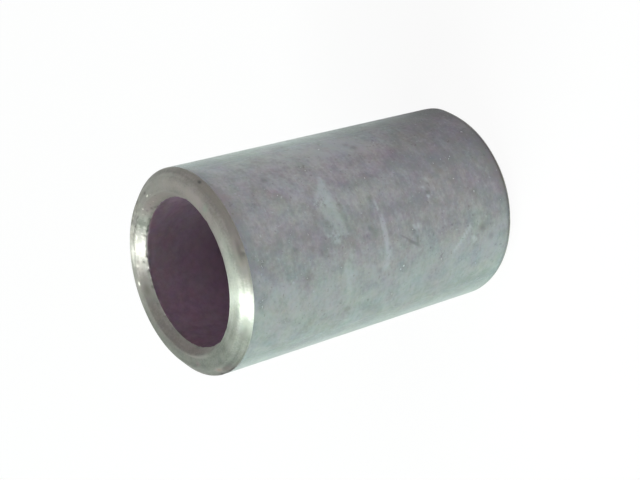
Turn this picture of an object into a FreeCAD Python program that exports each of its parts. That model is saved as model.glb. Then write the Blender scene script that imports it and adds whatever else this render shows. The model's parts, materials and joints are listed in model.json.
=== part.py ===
# Spacer sleeve: a short length of thick-walled steel tube, faced square and bevelled at both ends.
# It is one turned piece. It stands on one end with its axis along Z, and the origin is the centre
# of the lower face. All sizes are in millimetres and all angles in degrees.

import FreeCAD, Part
import math
import os

# Driving sizes
BORE_DIAMETER = 15.875  # five eighths of an inch, for the bolt that goes through
WALL_THICKNESS = 3.175  # an eighth of an inch, which makes the outside seven eighths
LENGTH = 38.1  # an inch and a half
OUTER_BEVEL_WIDTH = 1.2  # how far the bevel on the outside comes in across the end face
OUTER_BEVEL_ANGLE = 45.0  # between that bevel and the axis
BORE_BEVEL_WIDTH = 0.6  # how far the bevel in the bore's mouth goes out across the end face
BORE_BEVEL_ANGLE = 30.0  # between that bevel and the axis
RIM_EDGE_RADIUS = 0.5  # to which both corners of the outer bevel are rounded
MOUTH_EDGE_RADIUS = 0.15  # to which both corners of the bore's bevel are broken

# The most of a side that one rounded corner may use up, so that two corners never meet
ROUNDING_SHARE = 0.45


def bevel_height(width, angle):
    """How far a bevel of this width across the end reaches along the axis."""
    return width / math.tan(math.radians(angle))


def wall_corners():
    """The sharp corners of the wall's section, as points in the XZ plane, once round.

    Each comes with the radius that rounds it.
    """
    bore = BORE_DIAMETER / 2
    outside = bore + WALL_THICKNESS
    mouth = bore + BORE_BEVEL_WIDTH
    rim = outside - OUTER_BEVEL_WIDTH
    bore_bevel = bevel_height(BORE_BEVEL_WIDTH, BORE_BEVEL_ANGLE)
    outer_bevel = bevel_height(OUTER_BEVEL_WIDTH, OUTER_BEVEL_ANGLE)
    places = [
        (mouth, 0.0, MOUTH_EDGE_RADIUS),
        (rim, 0.0, RIM_EDGE_RADIUS),
        (outside, outer_bevel, RIM_EDGE_RADIUS),
        (outside, LENGTH - outer_bevel, RIM_EDGE_RADIUS),
        (rim, LENGTH, RIM_EDGE_RADIUS),
        (mouth, LENGTH, MOUTH_EDGE_RADIUS),
        (bore, LENGTH - bore_bevel, MOUTH_EDGE_RADIUS),
        (bore, bore_bevel, MOUTH_EDGE_RADIUS),
    ]
    return [(FreeCAD.Vector(x, 0.0, z), rounding) for x, z, rounding in places]


def rounded_corner(before, corner, after, radius):
    """The three points of the arc that rounds a corner: where it starts, its middle and its end."""
    to_before = before - corner
    to_after = after - corner
    half_angle = to_before.getAngle(to_after) / 2
    room = ROUNDING_SHARE * min(to_before.Length, to_after.Length)
    radius = min(radius, room * math.tan(half_angle))
    to_before.normalize()
    to_after.normalize()
    inward = to_before + to_after
    inward.normalize()
    cut_back = radius / math.tan(half_angle)
    middle = corner + inward * (radius / math.sin(half_angle) - radius)
    return corner + to_before * cut_back, middle, corner + to_after * cut_back


def wall_section():
    """The face that is turned about the axis: straight sides joined by an arc at each corner."""
    corners = wall_corners()
    count = len(corners)
    arcs = []
    for i in range(count):
        before, after = corners[i - 1][0], corners[(i + 1) % count][0]
        corner, rounding = corners[i]
        arcs.append(rounded_corner(before, corner, after, rounding))
    edges = []
    for i in range(count):
        start, middle, end = arcs[i]
        edges.append(Part.Arc(start, middle, end).toShape())
        edges.append(Part.LineSegment(end, arcs[(i + 1) % count][0]).toShape())
    return Part.Face(Part.Wire(edges))


def sleeve():
    """The sleeve itself, turned from its section in one piece."""
    return wall_section().revolve(FreeCAD.Vector(0, 0, 0), FreeCAD.Vector(0, 0, 1), 360)


os.makedirs("parts", exist_ok=True)
turned = sleeve()
turned.exportStep("parts/sleeve.step")
print("sleeve: %s, volume %.2f mm3, valid %s" % (turned.ShapeType, turned.Volume, turned.isValid()))
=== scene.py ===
"""Looks of the steel spacer sleeve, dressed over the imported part.

The sleeve is one turned piece of steel tube. Its surface is worked out here as a closed section carried
round the axis, with the wear of the real one pressed into it, and it carries three finishes: a dull grey
skin outside, bright turned ends, and dark oxide in the bore.
"""

import json
import logging
import math
from dataclasses import dataclass, replace
from enum import Enum

import bpy
import numpy as np
from mathutils import Matrix, Vector

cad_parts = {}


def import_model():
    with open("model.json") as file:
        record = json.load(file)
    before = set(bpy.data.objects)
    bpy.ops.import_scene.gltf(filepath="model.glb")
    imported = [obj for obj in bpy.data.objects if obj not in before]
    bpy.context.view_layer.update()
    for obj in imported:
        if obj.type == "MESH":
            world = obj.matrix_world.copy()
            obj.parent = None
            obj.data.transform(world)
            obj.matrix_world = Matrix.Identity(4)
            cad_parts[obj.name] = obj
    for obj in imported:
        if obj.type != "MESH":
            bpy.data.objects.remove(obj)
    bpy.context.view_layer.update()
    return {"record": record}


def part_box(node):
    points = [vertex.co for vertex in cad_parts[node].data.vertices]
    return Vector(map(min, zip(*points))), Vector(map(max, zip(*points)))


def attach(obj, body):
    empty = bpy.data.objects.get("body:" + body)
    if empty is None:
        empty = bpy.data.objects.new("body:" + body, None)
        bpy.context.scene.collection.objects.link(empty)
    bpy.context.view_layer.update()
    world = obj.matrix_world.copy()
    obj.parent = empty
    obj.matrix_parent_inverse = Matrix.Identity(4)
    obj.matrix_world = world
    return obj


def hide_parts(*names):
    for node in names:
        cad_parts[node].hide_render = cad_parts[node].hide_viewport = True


MM = 0.001
NODE = "sleeve"
BODY = "root"
BAKE_MAP = "OFBake"

# The radius at which a pattern drawn out round the axis has its true length, in millimetres
DRAWN_RADIUS = 11.0
# The levels between which a noise does nearly all of its varying
NOISE_ENDS = (0.3, 0.7)
# How far a stored shade of 1 lifts the level of a finish's grey
SHADE_LIFT = 0.2

log = logging.getLogger("sleeve")

Colour = tuple[float, float, float, float]
Pair = tuple[float, float]
Place = tuple[float, float, float]
Socket = bpy.types.NodeSocket


def grey(level: float) -> Colour:
    """An even grey."""
    return (level, level, level, 1.0)


def turned_from(start: float, angle: np.ndarray) -> np.ndarray:
    """The shorter turn from start to each angle, from -180 to 180 degrees."""
    return (angle - start + 180.0) % 360.0 - 180.0


def bell(*off: np.ndarray) -> np.ndarray:
    """A smooth hump: e to the power of minus the sum of the squares, so 1 where all of them are 0."""
    return np.exp(-sum(part**2 for part in off))


def swell(turn: np.ndarray) -> np.ndarray:
    """A raised cosine: 1 at no turn, 0 at half a turn and 1 again at a whole one, in radians."""
    return 0.5 + 0.5 * np.cos(turn)


class Finish(Enum):
    """The finishes of the sleeve, by their place among its material slots."""

    SKIN = 0
    TURNED = 1
    OXIDE = 2


class Side(Enum):
    """The sides of the wall's section, from the bore's lower mouth and once round.

    Attributes:
        order: Its place among the sides, from 0.
        finish: The finish on it.
        steps: How many points its straight run has. The turned sides are fine, for their rings.
    """

    LOWER_MOUTH = (0, Finish.TURNED, 9)
    LOWER_FACE = (1, Finish.TURNED, 16)
    LOWER_RIM = (2, Finish.TURNED, 8)
    OUTSIDE = (3, Finish.SKIN, 120)
    UPPER_RIM = (4, Finish.TURNED, 14)
    UPPER_FACE = (5, Finish.TURNED, 22)
    UPPER_MOUTH = (6, Finish.TURNED, 9)
    BORE = (7, Finish.OXIDE, 28)

    def __init__(self, order: int, finish: Finish, steps: int) -> None:
        """Keeps the parts of the member's value under their names."""
        self.order, self.finish, self.steps = order, finish, steps

    @property
    def shares(self) -> np.ndarray:
        """Where its points lie along the run, from 0 to 1: evenly, but closer at the bore's mouths."""
        even = np.linspace(0.0, 1.0, self.steps)
        return swell(math.pi * (1.0 - even)) if self is Side.BORE else even


@dataclass(frozen=True)
class Trace:
    """The section as arrays, one entry for each point.

    Attributes:
        place: Radius and height of each point, in metres.
        outward: The outward direction at each point, in the same plane.
        along: Distance run along the section, in metres.
        side: Order of the side that the point belongs to.
        edge: 1 on a rounded corner and 0 away from it.
    """

    place: np.ndarray
    outward: np.ndarray
    along: np.ndarray
    side: np.ndarray
    edge: np.ndarray


@dataclass(frozen=True)
class WallSection:
    """The wall's section: eight straight sides joined by an arc at each corner.

    Sizes are in metres and angles in degrees. A bevel's width is how far it comes in across the end, and
    its angle is the one between it and the axis.

    Attributes:
        bore: Radius of the bore.
        outside: Radius of the outside.
        length: Length of the sleeve.
        rim_width: Width of the lower bevel on the outside.
        upper_rim_width: Width of the upper one.
        rim_angle: Angle of both.
        mouth_width: Width of the lower bevel in the bore's mouth.
        upper_mouth_width: Width of the upper one.
        mouth_angle: Angle of both.
        rim_radius: Radius of the corners of the bevels on the outside.
        mouth_radius: Radius of the corners of the bevels in the mouths.
        arc_steps: How many steps a corner's arc takes.
        end_step: How far a straight run's first and last points lie from the arcs.
    """

    bore: float
    outside: float
    length: float
    rim_width: float = 1.2 * MM
    upper_rim_width: float = 1.2 * MM
    rim_angle: float = 45.0
    mouth_width: float = 0.6 * MM
    upper_mouth_width: float = 0.6 * MM
    mouth_angle: float = 30.0
    rim_radius: float = 0.5 * MM
    mouth_radius: float = 0.15 * MM
    arc_steps: int = 5
    end_step: float = 0.04 * MM

    def corners(self) -> np.ndarray:
        """The sharp corners, as radius and height, each where the side of the same order starts.

        Returns:
            An array of eight rows.
        """
        slope = math.tan(math.radians(self.rim_angle))
        low_rim, top_rim = self.rim_width, self.upper_rim_width
        mouth_height = self.mouth_width / math.tan(math.radians(self.mouth_angle))
        bore, outside, top = self.bore, self.outside, self.length
        return np.array([
            (bore, mouth_height), (bore + self.mouth_width, 0.0),
            (outside - low_rim, 0.0), (outside, low_rim / slope),
            (outside, top - top_rim / slope), (outside - top_rim, top),
            (bore + self.upper_mouth_width, top), (bore, top - mouth_height),
        ])

    def trace(self) -> Trace:
        """Runs once round the section.

        A corner's arc is tangent to both its sides: its centre lies inside the corner, and its points are
        that centre plus the radius times a direction that turns evenly from one side's outward direction
        to the next one's.

        Returns:
            The section as a Trace.
        """
        corners = self.corners()
        run = np.roll(corners, -1, axis=0) - corners
        run /= np.linalg.norm(run, axis=1, keepdims=True)
        outward = np.stack([run[:, 1], -run[:, 0]], axis=1)
        before = np.roll(outward, 1, axis=0)
        bisector = outward + before
        bisector /= (bisector * outward).sum(axis=1, keepdims=True)
        at_rim = {Side.LOWER_RIM, Side.OUTSIDE, Side.UPPER_RIM, Side.UPPER_FACE}
        radii = np.array([self.rim_radius if side in at_rim else self.mouth_radius for side in Side])
        centres = corners - radii[:, None] * bisector
        places, normals, sides, edges = [], [], [], []
        for i, side in enumerate(Side):
            turn_from = math.atan2(before[i, 1], before[i, 0])
            turn = math.remainder(math.atan2(outward[i, 1], outward[i, 0]) - turn_from, math.tau)
            angle = turn_from + turn * np.linspace(0.0, 1.0, self.arc_steps + 1)
            arc_normals = np.stack([np.cos(angle), np.sin(angle)], axis=1)
            places.append(centres[i] + radii[i] * arc_normals)
            normals.append(arc_normals)
            start = centres[i] + radii[i] * outward[i]
            following = (i + 1) % len(corners)
            reach = float((centres[following] + radii[following] * outward[i] - start) @ run[i])
            inner = self.end_step + side.shares * (reach - 2.0 * self.end_step)
            places.append(start + inner[:, None] * run[i])
            normals.append(np.repeat(outward[i][None], side.steps, axis=0))
            sides.append(np.full(self.arc_steps + 1 + side.steps, i))
            edges.append(np.repeat([1.0, 0.0], [self.arc_steps + 1, side.steps]))
        place = np.concatenate(places)
        step = np.linalg.norm(np.diff(place, axis=0), axis=1)
        along = np.concatenate([[0.0], np.cumsum(step)])
        return Trace(place, np.concatenate(normals), along, np.concatenate(sides), np.concatenate(edges))


@dataclass(frozen=True)
class Unrolled:
    """The surface laid out flat for its marks, with sizes in millimetres.

    What changes along the section is a column, and what changes round the axis is a row.

    Attributes:
        trace: The section.
        angle: Angles round the axis, in degrees.
        radius: The outside radius.
    """

    trace: Trace
    angle: np.ndarray
    radius: float

    @property
    def along(self) -> np.ndarray:
        """Distance run along the section."""
        return self.trace.along[:, None] / MM

    @property
    def run(self) -> np.ndarray:
        """Distance along the section from the upper corner of the outside."""
        return self.along - self.along[self.side(Side.UPPER_RIM)][0]

    @property
    def height(self) -> np.ndarray:
        """Height above the lower end."""
        return self.trace.place[:, 1:] / MM

    def side(self, side: Side) -> np.ndarray:
        """Which points of the section lie on a side, its first corner with it."""
        return self.trace.side[:, None] == side.order

    def finished(self, finish: Finish) -> np.ndarray:
        """Which points of the section have a finish."""
        return np.array([side.finish is finish for side in Side])[self.trace.side][:, None]

    def across(self, angle: float) -> np.ndarray:
        """How far round the outside each line of points lies from an angle."""
        return np.radians(turned_from(angle, self.angle)) * self.radius


@dataclass(frozen=True)
class Stroke:
    """A rub or scratch on the outside, from one end to the other.

    Attributes:
        start: Angle and height of its first end.
        end: Angle and height of its other end.
        width: Its width at each end.
        weight: Its strength.
        fade: How far it fades out beyond its ends, as a share of its length.
        evenness: How even it is across, and how steep at its sides.
    """

    start: Pair
    end: Pair
    width: Pair
    weight: float
    fade: float = 0.25
    evenness: int = 6

    def mask(self, on: Unrolled) -> np.ndarray:
        """How strongly it marks each place, from 0 to weight.

        The share run from start to end and the distance off the line joining them are taken on the
        unrolled surface. The mark falls off across the stroke as e to the power of minus a high power of
        that distance over half the width, which changes evenly from one end to the other.

        Args:
            on: The surface.

        Returns:
            The strength, one row for each point of the section.
        """
        across, up = on.across(self.start[0]), on.height - self.start[1]
        end_across = math.radians(self.end[0] - self.start[0]) * on.radius
        end_up = self.end[1] - self.start[1]
        reach = math.hypot(end_across, end_up)
        share = (across * end_across + up * end_up) / reach**2
        off = (across * end_up - up * end_across) / reach
        half = np.interp(share, (0.0, 1.0), self.width) / 2.0
        beyond = np.maximum(np.abs(share - 0.5) - 0.5, 0.0)
        sides = np.exp(-((off / half) ** self.evenness))
        return self.weight * sides * bell(2.0 * beyond / self.fade)


@dataclass(frozen=True)
class Speck:
    """A small rubbed or gouged spot on the outside: its angle, height, size and strength."""

    angle: float
    height: float
    size: float
    weight: float

    def mask(self, on: Unrolled) -> np.ndarray:
        """How strongly it marks each place: a bell round its centre, from 0 to weight."""
        return self.weight * bell(on.across(self.angle) / self.size, (on.height - self.height) / self.size)


@dataclass(frozen=True)
class StainAndPaintedLight:
    """A change of the surface's tone. Some are real stains, and some are painted light and shade that even
    out the lamps.

    Attributes:
        angle: Angle of its centre round the axis.
        run: Place of its centre along the section, from the upper corner of the outside to the bore.
        reach: Half of its spread round the axis, in degrees.
        tall: Half of its spread along the section.
        shade: How much lighter it makes the surface, or darker where it is negative.
        warmth: How much warmer it makes the surface, or greener where it is negative.
    """

    angle: float
    run: float
    reach: float
    tall: float
    shade: float = 0.0
    warmth: float = 0.0

    def mask(self, on: Unrolled) -> np.ndarray:
        """How strongly it marks each place: a bell round its centre, from 0 to 1."""
        return bell(turned_from(self.angle, on.angle) / self.reach, (on.run - self.run) / self.tall)


@dataclass(frozen=True)
class Dent:
    """A nick or pit: its angle, its place along the section, its radius and its depth."""

    angle: float
    run: float
    size: float
    depth: float

    def hollow(self, on: Unrolled) -> np.ndarray:
        """How deep it is at each place: a bell round its centre, which has nearly died out at its radius."""
        spread = self.size / math.sqrt(2.0)
        return self.depth * bell(on.across(self.angle) / spread, (on.run - self.run) / spread)


@dataclass(frozen=True)
class Scatter:
    """How many dents are scattered, the range of their sizes, and of their depths as shares of those."""

    count: int
    size: Pair
    depth: Pair


@dataclass(frozen=True)
class Wave:
    """A slow waviness round the tube.

    Attributes:
        lobes: How many waves there are once round.
        size: Half of its height, as a share of the whole.
        start: How far it is turned, in radians.
        twist: How much further it turns along the section, in radians to the millimetre.
    """

    lobes: int
    size: float
    start: float
    twist: float = 0.0

    def depth(self, on: Unrolled) -> np.ndarray:
        """How deep it is at each place: a cosine of the lobes times the angle, lifted clear of 0."""
        turn = self.lobes * np.radians(on.angle) + self.start + self.twist * on.along
        return self.size * (1.0 + np.cos(turn))


@dataclass(frozen=True)
class Wear:
    """The marks of making and handling, pressed into the surface and kept as masks for its finish.

    The marks in the lists are those that show on the real one, save the stains that are painted light and
    shade and the painted shade line along the lower rim; the small ones are scattered from a seed.
    Angles are in degrees and sizes in millimetres.

    Attributes:
        rubs: What is rubbed bright on the outside.
        gouges_and_painted_shade: What is scored, pitted or dark with dirt on the outside, and a line of
            painted shade along the lower rim.
        stains: The changes of tone: real stains, and painted light and shade where the lamps leave the
            surface too light or too dark.
        marks: The dents on the visible end.
        torn_width: Half the width of the corner between mouth and bore that the tool tore.
        torn_depth: How deep it is torn at most.
        tears: How many tears there are once round.
        torn_dirt: The dirt that fills them.
        flecks: How many small chips and spots are scattered on the visible end.
        fleck_angle: Mean and spread of their angles.
        fleck_run: Range of their places along the section.
        fleck_reach: Range of half their spread round the axis, in degrees.
        fleck_tall: Range of half their spread along the section.
        fleck_shade: Range of their strength, light or dark.
        seed: Seed of all random draws.
        pits: The scattered dents of the outside.
        nicks: The scattered dents along the corners.
        rub_depth: How deep a full rub is.
        gouge_depth: How deep a full gouge is.
        waves: The parts of the tube's waviness.
        out_of_round: How deep that waviness is.
        tool_pitch: Pitch of the spiral that facing left.
        tool_depth: Its depth.
        warmth_ends: The least and the most warmth that stains can add up to.
    """

    rubs: tuple[Stroke | Speck, ...] = (
        Stroke((302.0, 24.4), (284.5, 25.7), (0.3, 2.8), 0.5, fade=0.06),
        Stroke((287.0, 25.7), (268.0, 24.8), (2.6, 1.4), 0.27, fade=0.4),
        Stroke((270.0, 25.6), (265.0, 25.8), (1.0, 1.4), 0.4, fade=0.5),
        Stroke((252.0, 24.9), (235.0, 24.5), (0.9, 0.7), 0.3, fade=0.12),
        Stroke((278.5, 19.45), (249.0, 19.2), (0.4, 0.8), 0.45, fade=0.2),
        Stroke((262.0, 15.3), (257.0, 15.2), (0.6, 0.6), 0.4),
        Stroke((241.0, 9.6), (252.0, 7.5), (0.4, 0.35), 0.6),
        Stroke((246.0, 6.9), (242.5, 6.6), (0.6, 0.6), 0.6),
        Speck(261.0, 14.8, 0.3, 0.7),
        Speck(267.5, 25.3, 0.3, 0.7),
        Speck(268.5, 26.4, 0.3, 0.7),
        Speck(244.0, 19.5, 0.5, 0.5),
        Speck(275.4, 12.4, 0.2, 0.8),
        Speck(280.8, 12.8, 0.2, 0.8),
        Speck(285.0, 11.8, 0.25, 0.4),
        Speck(255.0, 24.0, 0.35, 0.5),
        Speck(244.4, 24.4, 0.5, 0.4),
    )
    gouges_and_painted_shade: tuple[Stroke | Speck, ...] = (
        Stroke((258.1, 17.1), (250.5, 15.1), (0.2, 0.42), 0.45),
        Stroke((258.7, 15.3), (252.0, 15.0), (0.25, 0.3), 0.5),
        Stroke((297.0, 19.2), (294.0, 17.7), (0.5, 0.5), 0.25),
        # Dark line along the lower rim: painted shade, the floor's shadow under the base as the rim mirrors
        # it.
        Stroke((200.0, 1.2), (350.0, 1.2), (0.5, 0.5), 0.65, fade=0.08),
        Speck(249.6, 5.6, 0.45, 0.5),
        Speck(243.0, 4.2, 0.45, 0.4),
        Speck(223.0, 24.1, 0.4, 0.4),
        Speck(260.7, 27.8, 0.35, 0.45),
        Speck(266.3, 30.9, 0.35, 0.45),
        Speck(317.5, 17.6, 0.4, 0.45),
        Speck(321.5, 18.1, 0.35, 0.35),
        Speck(242.4, 20.5, 0.35, 0.35),
        Speck(308.8, 30.8, 0.4, 0.4),
        Speck(282.5, 20.0, 0.35, 0.5),
        Speck(277.7, 12.3, 0.25, 0.6),
        Speck(267.0, 21.1, 0.3, 0.4),
        Speck(257.7, 15.3, 0.3, 0.5),
        Speck(275.5, 26.2, 0.25, 0.5),
        Speck(250.8, 29.9, 0.8, 0.25),
    )
    stains: tuple[StainAndPaintedLight, ...] = (
        StainAndPaintedLight(264.0, -17.5, 16.0, 1.3, warmth=0.7),
        StainAndPaintedLight(286.0, -11.5, 16.0, 1.8, warmth=-0.9),
        # Broad purple tint at 300° and green at 222°: partly the scale's own tint, partly a painted tint of
        # the light each side gets.
        StainAndPaintedLight(300.0, -18.0, 40.0, 60.0, warmth=0.7),
        StainAndPaintedLight(222.0, -18.0, 36.0, 60.0, warmth=-0.9),
        # Darker towards the lower end from 250° to 360° and along its rim: painted shade, the floor's shadow
        # round the base as the steel mirrors it.
        StainAndPaintedLight(332.0, -29.5, 17.0, 7.0, shade=-0.35, warmth=0.6),
        StainAndPaintedLight(350.0, -34.0, 14.0, 6.0, shade=-1.2, warmth=2.6),
        StainAndPaintedLight(0.0, -35.0, 16.0, 5.0, warmth=2.0),
        StainAndPaintedLight(285.0, -35.1, 11.0, 1.0, shade=-1.3, warmth=0.5),
        StainAndPaintedLight(260.0, -35.5, 70.0, 0.5, shade=-1.0),
        # Lighter and darker bands down the outside that even out the lamps' shading: painted light and
        # shade; the lighter band at 236° stands in for light bounced up from below.
        StainAndPaintedLight(236.0, -18.0, 15.0, 60.0, shade=0.4),
        StainAndPaintedLight(268.0, -18.0, 12.0, 60.0, shade=-0.3),
        StainAndPaintedLight(298.0, -31.0, 20.0, 12.0, shade=-0.5),
        StainAndPaintedLight(322.0, -17.0, 12.0, 6.0, shade=0.8),
        # Darker, warmer band on the upper bevel at 300–310° and on the outside beside it: the steel's brown
        # tone, with painted shade for the darker surround the bevel mirrors.
        StainAndPaintedLight(296.0, -0.1, 28.0, 0.9, shade=-1.1, warmth=0.6),
        StainAndPaintedLight(225.0, 2.4, 45.0, 3.2, warmth=-1.0),
        StainAndPaintedLight(150.0, 2.2, 60.0, 0.8, warmth=-0.6),
        # Lighter patches on the upper face at 276° and 326°: painted light where the lamps' reflection falls
        # short; their tints are the steel's.
        StainAndPaintedLight(276.0, 2.4, 16.0, 0.7, shade=0.4, warmth=-0.9),
        StainAndPaintedLight(326.0, 2.3, 34.0, 0.7, shade=0.35, warmth=0.5),
        StainAndPaintedLight(310.0, 0.7, 44.0, 0.8, shade=-0.35, warmth=0.7),
        # Darker bevel at 273°: painted shade that dims the front lamp's glint there.
        StainAndPaintedLight(273.0, 0.7, 10.0, 0.7, shade=-1.25, warmth=0.4),
        # Lighter upper and darker lower part of the bevel near 347°: painted light and shade across the
        # bevel.
        StainAndPaintedLight(347.0, 1.4, 14.0, 0.3, shade=0.4),
        StainAndPaintedLight(349.0, 0.6, 14.0, 0.5, shade=-0.5),
        StainAndPaintedLight(320.5, 0.47, 2.0, 0.3, shade=-1.7),
        StainAndPaintedLight(305.5, 2.3, 2.0, 0.5, shade=0.2, warmth=-2.0),
        # Darker face and bevel from 220° to 245°: painted shade that dims the lamps' glints there.
        StainAndPaintedLight(226.0, 2.4, 13.0, 1.0, shade=-0.5),
        StainAndPaintedLight(229.5, 0.8, 7.0, 0.8, shade=-1.75),
        StainAndPaintedLight(240.5, 2.4, 7.0, 0.8, shade=-1.0),
        StainAndPaintedLight(198.5, 1.25, 4.0, 0.4, shade=-0.4, warmth=-1.0),
        StainAndPaintedLight(206.0, 2.5, 4.0, 0.3, shade=-0.5, warmth=-1.0),
        StainAndPaintedLight(187.5, 1.1, 2.6, 0.36, shade=0.8, warmth=3.8),
        StainAndPaintedLight(195.0, 0.8, 5.0, 0.5, shade=-0.9, warmth=1.8),
        # Light line along the corner of mouth and face near 172°: painted highlight.
        StainAndPaintedLight(172.0, 3.02, 14.0, 0.1, shade=1.3, warmth=0.6),
        StainAndPaintedLight(165.0, 3.7, 26.0, 0.5, shade=-0.2, warmth=0.8),
        StainAndPaintedLight(170.5, 2.35, 2.0, 0.22, warmth=2.6),
        StainAndPaintedLight(194.0, 0.12, 11.0, 0.25, shade=-2.4, warmth=1.8),
        StainAndPaintedLight(184.5, 0.2, 3.0, 0.3, shade=-2.0, warmth=1.0),
        # Darker face at 170° and lighter at 12°: painted shade and light that even out the face's
        # reflection.
        StainAndPaintedLight(170.0, 2.4, 16.0, 1.0, shade=-0.4),
        StainAndPaintedLight(12.0, 2.6, 22.0, 1.2, shade=0.6),
        # Darker bevel at 28°: painted shade that dims its glancing reflection.
        StainAndPaintedLight(28.0, 0.8, 13.0, 0.8, shade=-1.3),
        StainAndPaintedLight(18.0, 3.7, 26.0, 0.5, shade=0.6, warmth=1.0),
        StainAndPaintedLight(132.0, 3.7, 48.0, 0.6, shade=-0.6, warmth=1.0),
        StainAndPaintedLight(41.0, 3.7, 9.0, 0.6, warmth=-1.4),
        # Darker mouth and face at 45°, 93° and 78°: painted shade that trims the lower glint's spill.
        StainAndPaintedLight(45.5, 3.7, 5.0, 0.6, shade=-1.4),
        StainAndPaintedLight(93.5, 3.7, 9.0, 0.6, shade=-1.5),
        StainAndPaintedLight(78.0, 2.4, 9.0, 0.6, shade=-0.8),
        # Darker band in the bore just past the mouth at the top: painted shadow of the rim.
        StainAndPaintedLight(5.0, 4.75, 30.0, 0.4, shade=-0.6),
        StainAndPaintedLight(73.2, 3.95, 0.7, 0.13, shade=-2.6),
        StainAndPaintedLight(72.4, 3.4, 1.2, 0.1, shade=-2.2),
        StainAndPaintedLight(57.5, 3.65, 0.6, 0.2, shade=-1.6),
        StainAndPaintedLight(64.0, 3.1, 1.0, 0.08, shade=-2.0),
        StainAndPaintedLight(59.0, 2.72, 3.0, 0.1, shade=-2.2),
        StainAndPaintedLight(68.0, 2.6, 5.0, 0.25, shade=1.6),
        # Bright chips at 88° and 15°: real chips, their near white colour a painted glint.
        StainAndPaintedLight(88.2, 2.85, 1.3, 0.22, shade=5.0),
        StainAndPaintedLight(15.0, 2.76, 1.4, 0.14, shade=3.0),
        StainAndPaintedLight(60.0, 4.42, 14.0, 0.16, shade=-3.0),
        # Bore darker near the mouth at 48°, where the side lamp falls, and lighter deep inside, where little
        # light reaches: painted shade and painted light.
        StainAndPaintedLight(48.0, 6.0, 32.0, 3.5, shade=-0.45),
        StainAndPaintedLight(90.0, 17.0, 500.0, 9.0, shade=1.0),
    )
    marks: tuple[Dent, ...] = (
        Dent(88.2, 2.85, 0.3, 0.04),
        Dent(15.0, 2.76, 0.3, 0.04),
        Dent(320.5, 0.47, 0.4, 0.05),
    )
    torn_width: float = 0.15
    torn_depth: float = 0.11
    tears: int = 150
    torn_dirt: StainAndPaintedLight = StainAndPaintedLight(58.0, 4.4, 24.0, 0.4, shade=-9.0)
    flecks: int = 260
    fleck_angle: Pair = (47.0, 13.0)
    fleck_run: Pair = (0.5, 4.2)
    fleck_reach: Pair = (0.5, 1.3)
    fleck_tall: Pair = (0.06, 0.15)
    fleck_shade: Pair = (0.5, 1.8)
    seed: int = 11
    pits: Scatter = Scatter(90, (0.15, 0.45), (0.02, 0.05))
    nicks: Scatter = Scatter(34, (0.15, 0.55), (0.08, 0.2))
    rub_depth: float = 0.012
    gouge_depth: float = 0.05
    waves: tuple[Wave, ...] = (
        Wave(2, 0.25, 0.7),
        Wave(3, 0.15, 2.1, 1.0 / 20.0),
        Wave(5, 0.1, 1.3, -1.0 / 9.0),
    )
    out_of_round: float = 0.012
    tool_pitch: float = 0.19
    tool_depth: float = 0.0022
    warmth_ends: Pair = (-1.0, 3.0)

    def scattered_dents(self, on: Unrolled) -> list[Dent]:
        """The scattered pits of the outside, and the nicks along the corners.

        Args:
            on: The surface that they are pressed into.

        Returns:
            The dents, in the order of their random draws.
        """
        draw = np.random.default_rng(self.seed)
        outside = on.run[on.side(Side.OUTSIDE)]
        corners = on.run[on.trace.edge > 0.0].reshape(len(Side), -1).mean(axis=1)
        found = []
        for scatter in (self.pits, self.nicks):
            for _ in range(scatter.count):
                angle = draw.uniform(0.0, 360.0)
                run = draw.uniform(outside[0], outside[-1]) if scatter is self.pits else draw.choice(corners)
                size = draw.uniform(*scatter.size)
                found.append(Dent(angle, run, size, size * draw.uniform(*scatter.depth)))
        return found

    def scattered_flecks(self) -> list[StainAndPaintedLight]:
        """The small chips and spots on the side of the end that the tool tore.

        Returns:
            The flecks as small stains, in the order of their random draws.
        """
        draw = np.random.default_rng(self.seed)
        found = []
        for _ in range(self.flecks):
            angle, run = draw.normal(*self.fleck_angle), draw.uniform(*self.fleck_run)
            reach, tall = draw.uniform(*self.fleck_reach), draw.uniform(*self.fleck_tall)
            shade = draw.uniform(*self.fleck_shade) * draw.choice((-1.0, 1.0))
            found.append(StainAndPaintedLight(angle, run, reach, tall, shade))
        return found

    def torn(self, on: Unrolled) -> np.ndarray:
        """How far the tool tore the corner between mouth and bore.

        It is a ragged line of random levels round the axis, times a bell across the corner.

        Args:
            on: The surface.

        Returns:
            The tear from 0 to 1, one row for each point of the section.
        """
        draw = np.random.default_rng(self.seed)
        levels = draw.uniform(0.0, 1.0, self.tears) ** 2
        ragged = np.interp(on.angle % 360.0, np.linspace(0.0, 360.0, self.tears), levels)
        corner = on.run[on.side(Side.BORE)][0]
        return ragged * bell((on.run - corner) / self.torn_width)

    def depth(self, on: Unrolled) -> np.ndarray:
        """How far each place of the surface lies below its true form.

        It is the sum of a slow waviness round the tube, the spiral that facing leaves on the turned
        sides, a hollow for each dent, the torn corner, and a shallow trough for each rub and gouge.

        Args:
            on: The surface.

        Returns:
            The depth in metres, one row for each point of the section.
        """
        depth = self.out_of_round * sum(wave.depth(on) for wave in self.waves)
        spiral = swell(on.along / self.tool_pitch * math.tau + np.radians(on.angle))
        depth = depth + on.finished(Finish.TURNED) * self.tool_depth * spiral
        for dent in (*self.marks, *self.scattered_dents(on)):
            depth = depth + dent.hollow(on)
        rubbed, gouged = self.masks(on)
        depth = depth + self.torn_depth * self.torn(on)
        return (depth + self.rub_depth * rubbed + self.gouge_depth * gouged) * MM

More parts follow.
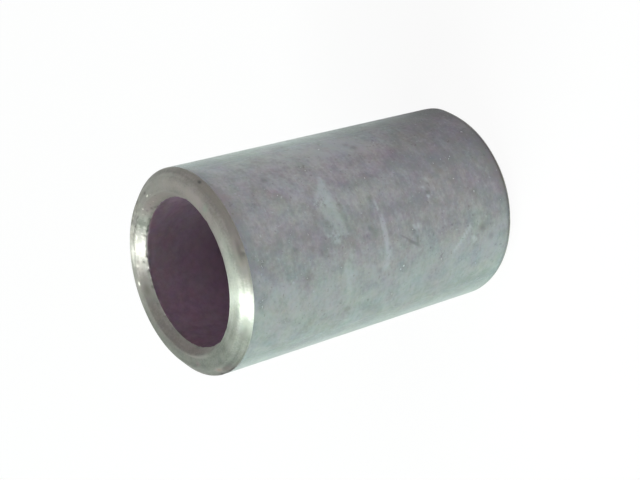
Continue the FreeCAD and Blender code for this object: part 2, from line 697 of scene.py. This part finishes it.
    def masks(self, on: Unrolled) -> tuple[np.ndarray, np.ndarray]:
        """Where the outside is rubbed bright, and where it is gouged or carries the painted shade line along
        the lower rim: the strongest mark at each place.

        Args:
            on: The surface.

        Returns:
            The two masks, one row for each point of the section.
        """
        skin = on.finished(Finish.SKIN)
        rubbed = np.max([mark.mask(on) for mark in self.rubs], axis=0)
        gouged = np.max([mark.mask(on) for mark in self.gouges_and_painted_shade], axis=0)
        return skin * rubbed, skin * gouged

    def tones(self, on: Unrolled) -> tuple[np.ndarray, np.ndarray]:
        """How the stains, among them painted light and shade, and the flecks shade and warm the surface: the
        sum of what each does there.

        Args:
            on: The surface.

        Returns:
            The shade and the warmth, one row for each point of the section.
        """
        shade = warmth = 0.0
        for stain in (*self.stains, *self.scattered_flecks()):
            mask = stain.mask(on)
            shade, warmth = shade + stain.shade * mask, warmth + stain.warmth * mask
        dirt = self.torn_dirt.shade * self.torn_dirt.mask(on) * self.torn(on)
        return shade + dirt, np.clip(warmth, *self.warmth_ends)


@dataclass(frozen=True)
class Pattern:
    """A noise in the metal.

    Attributes:
        size: Size of its largest features, in millimetres.
        detail: How many finer layers it has.
        rough: How strong those are.
        drawn: Length to which it is drawn out round the axis, in millimetres, or 0 where it is not.
    """

    size: float
    detail: float
    rough: float
    drawn: float = 0.0


@dataclass(frozen=True)
class Spots:
    """Small spots, where a pattern's noise is high.

    Attributes:
        pattern: The pattern.
        ends: The noise at which a spot begins, and at which it is full.
        strength: How strong a full spot is.
    """

    pattern: Pattern
    ends: Pair
    strength: float = 0.4


@dataclass(frozen=True)
class Tint:
    """How a finish's grey is coloured.

    Attributes:
        cool: Its tint where the stored warmth is -1.
        warm: Its tint where the warmth is 1.
        flecks: A fine coloured mottle over it.
        fleck_depth: Strength of that mottle.
    """

    cool: Colour
    warm: Colour
    flecks: Pattern
    fleck_depth: float


class Graph:
    """The nodes of a material or a world, made and joined by short calls."""

    def __init__(self, owner: bpy.types.Material | bpy.types.World) -> None:
        """Takes over the nodes of a material or world, and clears them."""
        owner.use_nodes = True
        self.owner = owner
        self.tree = owner.node_tree
        self.tree.nodes.clear()

    def node(self, kind: str, inputs: dict[str | int, object], **choices: str) -> bpy.types.Node:
        """Adds a node.

        Args:
            kind: Its kind, less the two words that all of them start with.
            inputs: For some of its sockets, a value or another node's output.
            **choices: Its settings by name.

        Returns:
            The node.
        """
        node = self.tree.nodes.new("ShaderNode" + kind)
        for name, choice in choices.items():
            setattr(node, name, choice)
        for socket, value in inputs.items():
            if isinstance(value, Socket):
                self.tree.links.new(value, node.inputs[socket])
            else:
                node.inputs[socket].default_value = value
        return node

    def math(self, kind: str, a: object, b: object) -> Socket:
        """One sum on numbers, of the kind that its node calls by that name."""
        return self.node("Math", {0: a, 1: b}, operation=kind).outputs[0]

    def vector(self, kind: str, a: object, b: Place | Socket = (0.0, 0.0, 0.0)) -> Socket:
        """One sum on vectors, of the kind that its node calls by that name."""
        return self.node("VectorMath", {0: a, 1: b}, operation=kind).outputs[0]

    def weighted(self, values: tuple[object, ...], weights: tuple[float, ...], lift: float = 0.0) -> Socket:
        """Adds up some numbers.

        Args:
            values: The numbers.
            weights: What each is multiplied by.
            lift: A number that is added to them.

        Returns:
            The sum's output.
        """
        total: object = lift
        for value, weight in zip(values, weights, strict=True):
            total = self.math("ADD", total, self.math("MULTIPLY", value, weight))
        return total

    def spread(self, value: object, ends: Pair, to: Pair = (0.0, 1.0)) -> Socket:
        """Stretches a range of numbers smoothly onto another, and clips it there.

        Args:
            value: The number.
            ends: The range that it lies in.
            to: The range that it is brought to.

        Returns:
            The result's output.
        """
        sockets = ("Value", "From Min", "From Max", "To Min", "To Max")
        inputs = dict(zip(sockets, (value, *ends, *to)))
        return self.node("MapRange", inputs, interpolation_type="SMOOTHSTEP").outputs[0]

    def blend(self, share: object, first: object, second: object, kind: str = "MIX") -> Socket:
        """A colour made of two by share, in the way that kind names."""
        inputs = {0: share, 6: first, 7: second}
        return self.node("Mix", inputs, data_type="RGBA", blend_type=kind).outputs[2]

    def attribute(self, name: str) -> Socket:
        """The piece's own attribute of that name, as a number."""
        return self.node("Attribute", {}, attribute_name=name).outputs["Fac"]

    def place(self) -> Socket:
        """Object coordinates, in metres."""
        return self.node("TexCoord", {}).outputs["Object"]

    def distance(self, centre: Place) -> Socket:
        """How far each place is from centre, in metres."""
        return self.node("VectorMath", {0: self.place(), 1: centre}, operation="DISTANCE").outputs["Value"]

    def tangent(self) -> Socket:
        """The direction round the axis, which is the way that the turning marks run."""
        return self.vector("NORMALIZE", self.vector("CROSS_PRODUCT", (0.0, 0.0, 1.0), self.place()))

    def ray(self, *kinds: str) -> Socket:
        """Tells kinds of rays from others.

        Args:
            *kinds: The kinds, by the names of Light Path's outputs.

        Returns:
            An output that is 1 for rays of any of these kinds, and 0 for others.
        """
        path = self.node("LightPath", {})
        found = path.outputs[kinds[0]]
        for kind in kinds[1:]:
            found = self.math("MAXIMUM", found, path.outputs[kind])
        return found

    def in_place(self, pattern: Pattern) -> Socket:
        """Object coordinates, scaled so that one unit is the pattern's size."""
        scale = (1.0 / (pattern.size * MM),) * 3
        return self.node("Mapping", {"Vector": self.place(), "Scale": scale}).outputs[0]

    def round_the_axis(self, pattern: Pattern) -> Socket:
        """Coordinates for a pattern that is drawn out round the axis, with no seam.

        They are the direction from the axis, times the radius over the drawn length, and the distance
        along the section over the pattern's size.

        Args:
            pattern: The pattern.

        Returns:
            The coordinates' output.
        """
        flat = self.vector("NORMALIZE", self.vector("MULTIPLY", self.place(), (1.0, 1.0, 0.0)))
        around = self.vector("MULTIPLY", flat, (DRAWN_RADIUS / pattern.drawn,) * 3)
        along = self.math("MULTIPLY", self.attribute("along"), 1.0 / pattern.size)
        return self.vector("ADD", around, self.node("CombineXYZ", {"Z": along}).outputs[0])

    def noise(self, pattern: Pattern, output: str = "Fac") -> Socket:
        """A pattern's noise.

        Args:
            pattern: The pattern.
            output: Fac for a number from 0 to 1, or Color for a colour.

        Returns:
            The noise's output.
        """
        where = self.round_the_axis(pattern) if pattern.drawn else self.in_place(pattern)
        inputs = {"Vector": where, "Scale": 1.0, "Detail": pattern.detail, "Roughness": pattern.rough}
        return self.node("TexNoise", inputs).outputs[output]

    def spots(self, spots: Spots) -> Socket:
        """How strong the spots are, from 0 to their strength."""
        return self.spread(self.noise(spots.pattern), spots.ends, (0.0, spots.strength))

    def flecked(self, colour: object, flecks: Pattern, depth: float) -> Socket:
        """The colour with a fine coloured mottle over it."""
        return self.blend(depth, colour, self.noise(flecks, "Color"), "LINEAR_LIGHT")

    def toned(self, shade_of_grey: object, tint: Tint) -> Socket:
        """A grey turned into a colour by the stored warmth.

        Args:
            shade_of_grey: The grey.
            tint: How it is coloured.

        Returns:
            The colour's output.
        """
        share = self.weighted((self.attribute("warmth"),), (0.5,), 0.5)
        colour = self.blend(1.0, shade_of_grey, self.blend(share, tint.cool, tint.warm), "MULTIPLY")
        return self.flecked(colour, tint.flecks, tint.fleck_depth)

    def bump(self, height: object, depth: float) -> Socket:
        """Turns a height from 0 to 1 into a tilt of the surface, depth millimetres deep."""
        return self.node("Bump", {"Height": height, "Distance": depth * MM, "Strength": 1.0}).outputs[0]

    def surface(self, **inputs: object) -> bpy.types.Material:
        """Ends the material in one shader.

        Args:
            **inputs: The shader's inputs by name, with underscores for spaces.

        Returns:
            The finished material.
        """
        named = {name.replace("_", " "): value for name, value in inputs.items()}
        shader = self.node("BsdfPrincipled", named)
        self.node("OutputMaterial", {"Surface": shader.outputs[0]})
        return self.owner


@dataclass(frozen=True)
class Skin:
    """The dull grey outside: drawn tube with a thin worn scale.

    Attributes:
        edge_tint: Tint of what it mirrors at a glancing angle.
        mottle: Shares of patch, streak and grain in its mottle.
        grey_ends: The mottle at which it is darkest, and lightest.
        rub_ends: The mottle at which a rub misses the surface, and takes it all.
        roughness: Its roughness where the mottle is low, and high.
        relief: Shares of grain and streak in its relief.
        relief_depth: Depth of that relief, in millimetres.
    """

    dark: Colour = grey(0.22)
    light: Colour = grey(0.345)
    rubbed: Colour = (0.45, 0.475, 0.48, 1.0)
    # Dark gouged colour; it also paints the line of shade along the lower rim.
    gouged: Colour = (0.10, 0.092, 0.085, 1.0)
    tint: Tint = Tint((0.945, 1.02, 1.003, 1.0), (1.035, 0.955, 1.065, 1.0), Pattern(3.4, 5.0, 0.85), 0.065)
    edge_tint: Colour = (0.88, 1.0, 0.94, 1.0)
    metallic: float = 0.58
    patch: Pattern = Pattern(1.8, 5.0, 0.62)
    streak: Pattern = Pattern(0.35, 4.0, 0.65, drawn=1.6)
    grain: Pattern = Pattern(0.4, 3.0, 0.65)
    mottle: tuple[float, float, float] = (0.5, 0.18, 0.32)
    grey_ends: Pair = (0.32, 0.68)
    pits: Spots = Spots(Pattern(0.5, 2.0, 0.6), (0.65, 0.73))
    glints: Spots = Spots(Pattern(0.43, 2.0, 0.6), (0.67, 0.74))
    rub_ends: Pair = (0.36, 0.5)
    roughness: Pair = (0.28, 0.2)
    relief: Pair = (0.7, 0.3)
    relief_depth: float = 0.012

    def build(self) -> bpy.types.Material:
        """Makes the material: a grey mottle with a fine grain drawn out round the tube, and the marks.

        Returns:
            The material.
        """
        g = Graph(bpy.data.materials.new("steel_skin"))
        patch, streak, grain = g.noise(self.patch), g.noise(self.streak), g.noise(self.grain)
        mottle = g.weighted((patch, streak, grain), self.mottle)
        level = g.weighted((mottle, g.attribute("shade")), (1.0, SHADE_LIFT))
        base = g.blend(g.spread(level, self.grey_ends), self.dark, self.light)
        rub = g.math("MULTIPLY", g.attribute("rubbed"), g.spread(mottle, self.rub_ends))
        base = g.blend(g.math("MAXIMUM", rub, g.spots(self.glints)), base, self.rubbed)
        # Gouges, pits and the painted shade line along the lower rim take the gouged colour.
        base = g.blend(g.math("MAXIMUM", g.attribute("gouged"), g.spots(self.pits)), base, self.gouged)
        return g.surface(
            Base_Color=g.toned(base, self.tint),
            Metallic=self.metallic,
            Roughness=g.spread(mottle, NOISE_ENDS, self.roughness),
            Specular_Tint=self.edge_tint,
            Normal=g.bump(g.weighted((grain, streak), self.relief), self.relief_depth),
        )


@dataclass(frozen=True)
class Turned:
    """The turned ends: brighter steel with fine rings, a little stained.

    Attributes:
        dirt_and_painted_shade: Colour of the dirt that fills a chip, also laid on as painted shade where
            stains darken the turned sides strongly.
        anisotropic: How far a highlight is drawn out across the rings.
        across_the_marks: Turn of that highlight, as a share of a whole turn.
        rings: The rings that the tool left.
        bands: Broader bands of tone along them.
        mottle: Shares of bands, stains and specks in its mottle.
        mottle_lift: What is added to the mottle.
        grey_ends: The mottle at which it is fully stained, and clean.
        rust_ends: The stored warmth at which rust begins, and covers.
        chip_and_painted_glint_ends: The stored shade at which a chip begins, and is bare metal painted near
            white as a glint.
        dirt_and_painted_shade_ends: The stored shade at which that dark colour begins, and covers.
        roughness: Its roughness where the mottle is low, and high.
        relief: Shares of rings and specks in its relief.
        relief_depth: Depth of that relief, in millimetres.
    """

    bright: Colour = grey(0.45)
    stained: Colour = grey(0.285)
    # Near white: a chip's bare metal, painted as the glint it catches, and the painted highlight along the
    # mouth's corner.
    chip_and_painted_glint: Colour = grey(0.95)
    rusty: Colour = (0.43, 0.40, 0.345, 1.0)
    # Dark dirt, also painted shade where stains darken the turned sides strongly.
    dirt_and_painted_shade: Colour = grey(0.10)
    tint: Tint = Tint((0.895, 1.0, 0.86, 1.0), (1.02, 0.965, 0.89, 1.0), Pattern(1.2, 5.0, 0.85), 0.03)
    metallic: float = 1.0
    anisotropic: float = 0.96
    across_the_marks: float = 0.25
    rings: Pattern = Pattern(0.11, 3.0, 0.7, drawn=14.0)
    bands: Pattern = Pattern(0.5, 2.0, 0.5, drawn=9.0)
    stains: Pattern = Pattern(2.4, 4.0, 0.65)
    specks: Pattern = Pattern(0.22, 2.0, 0.5)
    mottle: tuple[float, float, float] = (0.3, 0.3, 0.2)
    mottle_lift: float = 0.1
    grey_ends: Pair = (0.34, 0.64)
    pits: Spots = Spots(Pattern(0.45, 2.0, 0.6), (0.62, 0.7))
    rust_ends: Pair = (1.2, 2.8)
    chip_and_painted_glint_ends: Pair = (1.2, 2.6)
    dirt_and_painted_shade_ends: Pair = (-1.0, -2.6)
    roughness: Pair = (0.53, 0.45)
    relief: Pair = (0.6, 0.4)
    relief_depth: float = 0.005

    def build(self) -> bpy.types.Material:
        """Makes the material: rings that follow the tool, with stains and small specks.

        Returns:
            The material.
        """
        g = Graph(bpy.data.materials.new("steel_turned"))
        bands, stains, specks = g.noise(self.bands), g.noise(self.stains), g.noise(self.specks)
        mottle = g.weighted((bands, stains, specks), self.mottle, self.mottle_lift)
        shade = g.attribute("shade")
        level = g.weighted((mottle, shade), (1.0, SHADE_LIFT))
        base = g.blend(g.spread(level, self.grey_ends), self.stained, self.bright)
        base = g.blend(g.spots(self.pits), base, self.stained)
        base = g.blend(g.spread(g.attribute("warmth"), self.rust_ends), base, self.rusty)
        # Chips painted near white as glints; then dark dirt, which also carries painted shade.
        base = g.blend(g.spread(shade, self.chip_and_painted_glint_ends), base, self.chip_and_painted_glint)
        base = g.blend(g.spread(shade, self.dirt_and_painted_shade_ends), base, self.dirt_and_painted_shade)
        return g.surface(
            Base_Color=g.toned(base, self.tint),
            Metallic=self.metallic,
            Roughness=g.spread(mottle, NOISE_ENDS, self.roughness),
            Anisotropic=self.anisotropic,
            Anisotropic_Rotation=self.across_the_marks,
            Tangent=g.tangent(),
            Normal=g.bump(g.weighted((g.noise(self.rings), specks), self.relief), self.relief_depth),
        )


@dataclass(frozen=True)
class Oxide:
    """The dark oxide left in the bore.

    Attributes:
        mottle: Shares of patch and stored shade in its mottle.
        mottle_lift: What is added to the mottle.
        flecks: A fine coloured mottle over it.
        roughness: Its roughness where the patches are low, and high.
        relief_depth: Depth of the patches' relief, in millimetres.
    """

    deep: Colour = (0.055, 0.031, 0.046, 1.0)
    # pale is also what the deep bore is brought towards, standing in for light that doesn't reach it:
    # painted light.
    pale: Colour = (0.250, 0.1645, 0.2263, 1.0)
    patch: Pattern = Pattern(0.9, 4.0, 0.65)
    mottle: Pair = (0.45, 0.5)
    mottle_lift: float = 0.105
    flecks: Pattern = Pattern(2.0, 5.0, 0.85)
    fleck_depth: float = 0.04
    roughness: Pair = (0.75, 0.6)
    relief_depth: float = 0.02

    def build(self) -> bpy.types.Material:
        """Makes the material: a matt purple brown with a soft mottle.

        Returns:
            The material.
        """
        g = Graph(bpy.data.materials.new("bore_oxide"))
        patch = g.noise(self.patch)
        mottle = g.weighted((patch, g.attribute("shade")), self.mottle, self.mottle_lift)
        base = g.blend(g.spread(mottle, (0.0, 1.0)), self.deep, self.pale)
        return g.surface(
            Base_Color=g.flecked(base, self.flecks, self.fleck_depth),
            Metallic=0.0,
            Roughness=g.spread(patch, NOISE_ENDS, self.roughness),
            Normal=g.bump(patch, self.relief_depth),
        )


@dataclass(frozen=True)
class OffCentre:
    """A bevel that was cut off centre, or cut short at one place.

    Attributes:
        angle: Angle round the axis where it departs most from its true width, in degrees.
        widths: The section's widths there, by name, in metres.
        narrowness: 1 for a bevel that is off centre as a whole, and more for a shorter place.
    """

    angle: float
    widths: dict[str, float]
    narrowness: float = 1.0


@dataclass(frozen=True)
class Sleeve:
    """The sleeve: its section carried round the axis, worn, and dressed in its finishes.

    Attributes:
        section: The section.
        wear: The wear.
        turns: How many points there are round the axis.
        seam_angle: Angle at which the map's seam lies, in degrees.
        map_margin: What the map leaves free at its edges, as a share of its size.
        cuts: The bevels that aren't true.
    """

    section: WallSection
    wear: Wear = Wear()
    turns: int = 360
    seam_angle: float = 90.0
    map_margin: float = 0.004
    cuts: tuple[OffCentre, ...] = (
        OffCentre(275.0, {"upper_rim_width": 0.92 * MM}),
        OffCentre(40.0, {"upper_mouth_width": 0.87 * MM}),
        OffCentre(351.0, {"rim_width": 0.4 * MM}, 60.0),
    )

    def places(self, on: Unrolled) -> np.ndarray:
        """Where each point of the worn surface lies.

        It is the section's point, less the wear's depth along the outward direction, turned about the
        axis: radius times the cosine and sine of the angle, and the height. Where a bevel isn't true, the
        section runs smoothly between two forms round the axis.

        Args:
            on: The surface.

        Returns:
            The places in metres, by point of the section and by angle.
        """
        place = np.repeat(on.trace.place[:, None], self.turns, axis=1)
        for cut in self.cuts:
            departure = replace(self.section, **cut.widths).trace().place - on.trace.place
            share = swell(np.radians(on.angle - cut.angle)) ** cut.narrowness
            place += share[:, None] * departure[:, None]
        place -= self.wear.depth(on)[..., None] * on.trace.outward[:, None]
        turn = np.radians(on.angle)
        radius, height = place[..., 0], place[..., 1]
        return np.stack([radius * np.cos(turn), radius * np.sin(turn), height], axis=-1)

    def build(self) -> bpy.types.Object:
        """Makes the mesh and gives it its finishes, attributes and map.

        Returns:
            The finished piece, at the origin.
        """
        trace = self.section.trace()
        angle = self.seam_angle + np.arange(self.turns) * 360.0 / self.turns
        on = Unrolled(trace, angle, self.section.outside / MM)
        rows = len(trace.side)
        number = np.arange(rows * self.turns).reshape(rows, self.turns)
        above, beside = np.roll(number, -1, axis=0), np.roll(number, -1, axis=1)
        corner = np.roll(above, -1, axis=1)
        faces = np.stack([number, beside, corner, above], axis=-1).reshape(-1, 4)
        mesh = bpy.data.meshes.new("sleeve_surface")
        mesh.from_pydata(self.places(on).reshape(-1, 3), [], faces)
        self.add_map(mesh, trace)
        self.add_attributes(mesh, on)
        mesh.polygons.foreach_set("use_smooth", np.ones(len(faces), bool))
        finishes = np.array([side.finish.value for side in Side])[trace.side]
        mesh.polygons.foreach_set("material_index", np.repeat(finishes, self.turns))
        mesh.update()
        for finish in (Skin(), Turned(), Oxide()):
            mesh.materials.append(finish.build())
        piece = bpy.data.objects.new("steel_sleeve", mesh)
        bpy.context.scene.collection.objects.link(piece)
        log.info("steel_sleeve: %d rows by %d columns, %d faces", rows, self.turns, len(faces))
        return piece

    def add_map(self, mesh: bpy.types.Mesh, trace: Trace) -> None:
        """Gives the mesh one map: across is the share round the axis, up is the share along the section.

        Args:
            mesh: The mesh.
            trace: The section.
        """
        gap = float(np.linalg.norm(trace.place[0] - trace.place[-1]))
        up = np.append(trace.along, trace.along[-1] + gap) / (trace.along[-1] + gap)
        across = np.arange(self.turns + 1) / self.turns
        margin = self.map_margin
        up, across = margin + (1.0 - 2.0 * margin) * up, margin + (1.0 - 2.0 * margin) * across
        low, high = up[:-1, None], up[1:, None]
        left, right = across[None, :-1], across[None, 1:]
        corners = [(left, low), (right, low), (right, high), (left, high)]
        flat = [np.stack(np.broadcast_arrays(a, b), axis=-1) for a, b in corners]
        layer = mesh.uv_layers.new(name=BAKE_MAP)
        layer.data.foreach_set("uv", np.stack(flat, axis=2).astype(np.float32).ravel())

    def add_attributes(self, mesh: bpy.types.Mesh, on: Unrolled) -> None:
        """Stores what the finishes read: distance along the section in millimetres, and the wear, whose
        tones also hold painted light and shade.

        Args:
            mesh: The mesh.
            on: The surface.
        """
        rubbed, gouged = self.wear.masks(on)
        shade, warmth = self.wear.tones(on)
        along = np.repeat(on.along, self.turns, axis=1)
        layers = {"along": along, "rubbed": rubbed, "gouged": gouged, "shade": shade, "warmth": warmth}
        for name, values in layers.items():
            layer = mesh.attributes.new(name, "FLOAT", "POINT")
            layer.data.foreach_set("value", values.astype(np.float32).ravel())


class Light(Enum):
    """What a lamp is for: plain light, or the glints that metal mirrors."""

    WASH = "wash"
    GLINT = "glint"


@dataclass(frozen=True)
class Lamp:
    """A soft square light that points at the sleeve. Angles in degrees, sizes in metres."""

    name: str
    azimuth: float
    elevation: float
    size: Pair
    power: float
    kind: Light
    colour: tuple[float, float, float] = (1.0, 1.0, 1.0)
    distance: float = 0.5

    def build(self, aim: Vector) -> None:
        """Places the lamp at its distance from a point, turned towards it.

        Args:
            aim: The point.
        """
        data = bpy.data.lights.new(self.name, "AREA")
        data.shape = "RECTANGLE"
        data.size, data.size_y = self.size
        data.energy = self.power
        data.color = self.colour
        lamp = bpy.data.objects.new(self.name, data)
        a, e = math.radians(self.azimuth), math.radians(self.elevation)
        back = Vector((math.sin(a) * math.cos(e), -math.cos(a) * math.cos(e), math.sin(e)))
        turn = (-back).to_track_quat("-Z", "Y").to_matrix().to_4x4()
        lamp.matrix_world = Matrix.Translation(aim + back * self.distance) @ turn
        lamp.visible_camera = False
        lamp.visible_diffuse = self.kind is Light.WASH
        lamp.visible_glossy = self.kind is Light.GLINT
        bpy.context.scene.collection.objects.link(lamp)


@dataclass(frozen=True)
class Studio:
    """The pale floor, the white surround and the soft lamps. Sizes in metres.

    Attributes:
        floor_half: Half the floor's width.
        floor_colour: Colour of the floor.
        floor_seen: How much of it is plain white to the camera.
        floor_mirrored: How much of it is plain white in what the steel mirrors.
        painted_shadow_place: Centre of the painted shadow on the floor beside the sleeve, standing in for
            the sleeve's soft shadow.
        painted_shadow_reach: How far from there the painted shadow is even, and where it ends.
        painted_shadow_levels: Level of the painted shadow, and of the floor round it.
        painted_contact_shadow_place: Centre of the painted contact shadow under the sleeve, dark where the
            steel mirrors it.
        painted_contact_shadow_reach: How far from there that painted shadow is even, and where it ends.
        world_level: Strength of the surround's light on the sleeve.
        lamps: The lamps.
    """

    floor_half: float = 3.0
    floor_colour: Colour = grey(0.86)
    floor_seen: float = 0.93
    floor_mirrored: float = 0.25
    painted_shadow_place: Place = (17.5 * MM, 7.0 * MM, 0.0)
    painted_shadow_reach: Pair = (5.0 * MM, 22.0 * MM)
    painted_shadow_levels: Pair = (0.66, 1.0)
    painted_contact_shadow_place: Place = (0.0, 0.0, 0.0)
    painted_contact_shadow_reach: Pair = (11.4 * MM, 15.0 * MM)
    world_level: float = 0.05
    lamps: tuple[Lamp, ...] = (
        Lamp("key_glint", -52.5, 44.0, (0.21, 0.40), 2.1, Light.GLINT),
        Lamp("front_glint", -16.0, 33.0, (0.35, 0.30), 0.2, Light.GLINT),
        Lamp("low_glint", -60.0, 16.0, (0.34, 0.20), 2.6, Light.GLINT),
        Lamp("side_glint", -100.0, 30.0, (0.25, 0.25), 0.3, Light.GLINT),
        Lamp("top_glint", 0.0, 75.0, (0.25, 0.25), 0.45, Light.GLINT),
        Lamp("side_wash", -110.0, 34.0, (0.5, 0.5), 4.4, Light.WASH, (0.87, 1.0, 0.94)),
        Lamp("front_wash", -20.0, 30.0, (0.4, 0.4), 0.9, Light.WASH),
        Lamp("right_wash", 50.0, 35.0, (0.4, 0.4), 1.2, Light.WASH),
    )

    def build(self, aim: Vector) -> None:
        """Sets up the floor, the world and the lamps.

        Args:
            aim: The point that the lamps point at.
        """
        self.floor()
        self.world()
        for lamp in self.lamps:
            lamp.build(aim)
            log.info("lamp %s", lamp.name)
        bpy.context.scene.view_settings.view_transform = "Standard"

    def floor(self) -> None:
        """Lays the floor, which looks near white straight on and still takes the sleeve's shadow, with a
        painted shadow beside the sleeve and a painted contact shadow under it.
        """
        half = self.floor_half
        mesh = bpy.data.meshes.new("floor")
        corners = [(-half, -half, 0.0), (half, -half, 0.0), (half, half, 0.0), (-half, half, 0.0)]
        mesh.from_pydata(corners, [], [(0, 1, 2, 3)])
        floor = bpy.data.objects.new("floor", mesh)
        bpy.context.scene.collection.objects.link(floor)
        g = Graph(bpy.data.materials.new("floor"))
        # Painted shadow beside the sleeve, darkening the floor's colour and what the steel mirrors of it.
        shade = g.spread(g.distance(self.painted_shadow_place), self.painted_shadow_reach, self.painted_shadow_levels)
        # Painted contact shadow under the sleeve, seen only where the steel mirrors the floor.
        under = g.spread(g.distance(self.painted_contact_shadow_place), self.painted_contact_shadow_reach)
        cloth = g.node("BsdfDiffuse", {"Color": g.blend(shade, grey(0.0), self.floor_colour)})
        glow = g.node("Emission", {"Strength": 1.0})
        seen = g.math("MULTIPLY", g.ray("Is Camera Ray"), self.floor_seen)
        mirrored = g.math("MULTIPLY", g.ray("Is Glossy Ray", "Is Transmission Ray"), self.floor_mirrored)
        mirrored = g.math("MULTIPLY", mirrored, g.math("MULTIPLY", shade, under))
        share = g.math("MAXIMUM", seen, mirrored)
        mixed = g.node("MixShader", {0: share, 1: cloth.outputs[0], 2: glow.outputs[0]})
        g.node("OutputMaterial", {"Surface": mixed.outputs[0]})
        mesh.materials.append(g.owner)

    def world(self) -> None:
        """Makes the surround: pale where it is seen or mirrored, and a plain level of light elsewhere."""
        world = bpy.data.worlds.new("surround")
        bpy.context.scene.world = world
        g = Graph(world)
        share = g.ray("Is Camera Ray", "Is Glossy Ray", "Is Transmission Ray")
        background = g.node("Background", {"Strength": g.spread(share, (0.0, 1.0), (self.world_level, 1.0))})
        g.node("OutputWorld", {"Surface": background.outputs[0]})


@dataclass(frozen=True)
class PhotoCamera:
    """The camera of the photograph, worked out from the sleeve's outline.

    Angles are in degrees, lens and sensor in millimetres, and the shift in shares of the picture: half a
    pixel of the photograph.
    """

    aim: Place = (-0.476 * MM, 0.352 * MM, 19.534 * MM)
    distance: float = 162.72 * MM
    azimuth: float = 0.207
    elevation: float = 36.095
    roll: float = 105.694
    lens: float = 82.678
    sensor: float = 36.0
    shift: Pair = (-0.5 / 640.0, 0.5 / 640.0)
    clip: Pair = (0.01, 20.0)

    def build(self) -> None:
        """Makes the camera: level at first, then rolled about its own line of sight."""
        a, e, r = (math.radians(v) for v in (self.azimuth, self.elevation, self.roll))
        ahead = Vector((-math.sin(a) * math.cos(e), math.cos(a) * math.cos(e), -math.sin(e)))
        level_right = ahead.cross(Vector((0.0, 0.0, 1.0))).normalized()
        level_up = level_right.cross(ahead)
        right = level_right * math.cos(r) - level_up * math.sin(r)
        up = level_up * math.cos(r) + level_right * math.sin(r)
        turn = Matrix((right, up, -ahead)).transposed().to_4x4()
        data = bpy.data.cameras.new("photo_camera")
        data.sensor_width = self.sensor
        data.lens = self.lens
        data.clip_start, data.clip_end = self.clip
        data.shift_x, data.shift_y = self.shift
        camera = bpy.data.objects.new("photo_camera", data)
        camera.matrix_world = Matrix.Translation(Vector(self.aim) - ahead * self.distance) @ turn
        bpy.context.scene.collection.objects.link(camera)
        bpy.context.scene.camera = camera


def bore_radius(record: dict) -> float:
    """The bore's radius in metres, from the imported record's mount of that name."""
    bore = next(mount for mount in record["mounts"] if mount["name"] == "bore")
    return bore["dims"]["r_mm"] * MM


def main() -> None:
    """Loads the part, builds the sleeve over it, and sets the studio and the camera."""
    logging.basicConfig(level=logging.INFO, format="%(message)s")
    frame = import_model()
    low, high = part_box(NODE)
    section = WallSection(bore_radius(frame["record"]), (high.x - low.x) / 2.0, high.z - low.z)
    PhotoCamera().build()
    Studio().build(Vector((0.0, 0.0, section.length / 2.0)))
    piece = Sleeve(section).build()
    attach(piece, BODY)
    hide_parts(NODE)


if __name__ == "__main__":
    main()
